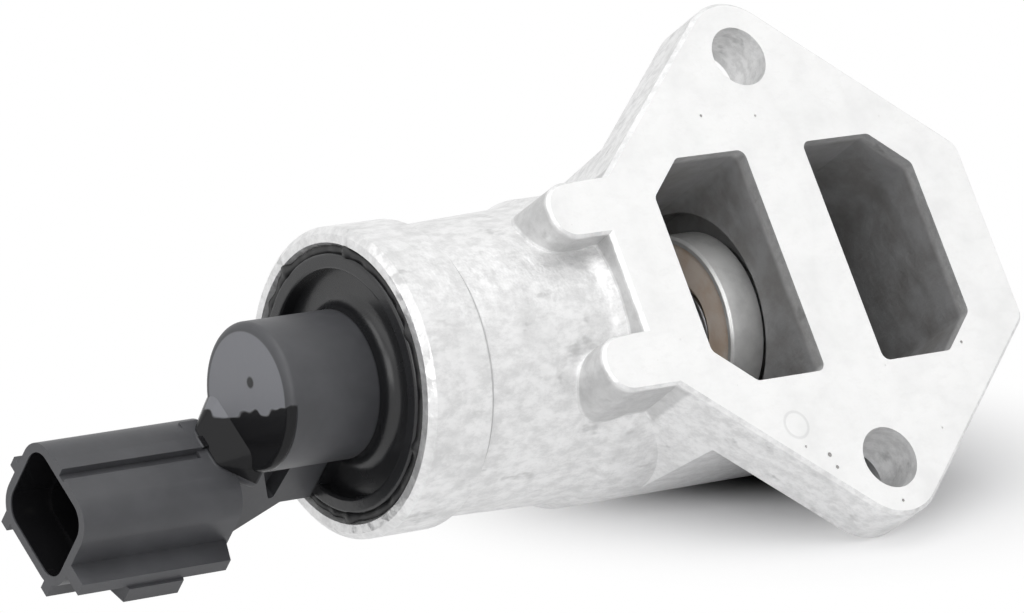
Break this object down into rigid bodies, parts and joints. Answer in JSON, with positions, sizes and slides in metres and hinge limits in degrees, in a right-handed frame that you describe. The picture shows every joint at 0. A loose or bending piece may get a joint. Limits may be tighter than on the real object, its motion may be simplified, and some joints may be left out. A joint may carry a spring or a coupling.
{
  "type": "idle air control valve",
  "caption": "Solenoid idle air control valve: flanged die-cast body with two air ports, round barrel and a moulded cap with its connector.",
  "frame": {"origin": "centre of the mounting face, halfway between the two bolt holes", "axes": "-Y out of the mounting face towards the engine, +Z along the line of the bolt holes, -X along the barrel towards the connector"},
  "size_m": [0.1095, 0.0399, 0.0612],
  "materials": {
    "casting": "satin die casting",
    "black_plastic": "satin moulding",
    "seal_rubber": "matt",
    "turned_steel": "turned",
    "bronze_sheet": "pressed, heat-tinted",
    "seat_steel": "ground",
    "rod_steel": "ground",
    "zinc_steel": "zinc plated",
    "spring_steel": "drawn wire",
    "bush_bronze": "sintered",
    "bobbin_plastic": "moulded",
    "copper_wire": "enamelled copper",
    "soft_iron": "turned",
    "tinned_brass": "tinned"
  },
  "bodies": {
    "housing": {"valve_body": "casting", "connector_cap": "black_plastic", "cap_seal": "seal_rubber", "valve_seat": "seat_steel", "return_spring": "spring_steel", "front_plate": "zinc_steel", "front_bush": "bush_bronze", "front_seal": "seal_rubber", "solenoid_case": "zinc_steel", "coil_bobbin": "bobbin_plastic", "coil_winding": "copper_wire", "stop_washer": "bush_bronze", "pole_core": "soft_iron", "rear_bush": "bush_bronze", "balance_spring": "spring_steel", "spring_adjuster": "zinc_steel", "rear_plate": "zinc_steel", "spring_washer": "spring_steel", "upper_terminal": "tinned_brass", "lower_terminal": "tinned_brass"},
    "valve": {"valve_head": "turned_steel", "spring_cup": "bronze_sheet", "rod_nut": "zinc_steel", "valve_rod": "rod_steel", "armature": "soft_iron"}
  },
  "joints": [
    {"name": "valve_lift", "type": "slide", "parent": "housing", "child": "valve", "axis": [-1, 0, 0], "range_m": [0, 0.0032], "stiffness_N_per_m": 900, "springref_m": -0.002, "deforming": ["return_spring", "balance_spring"]}
  ]
}
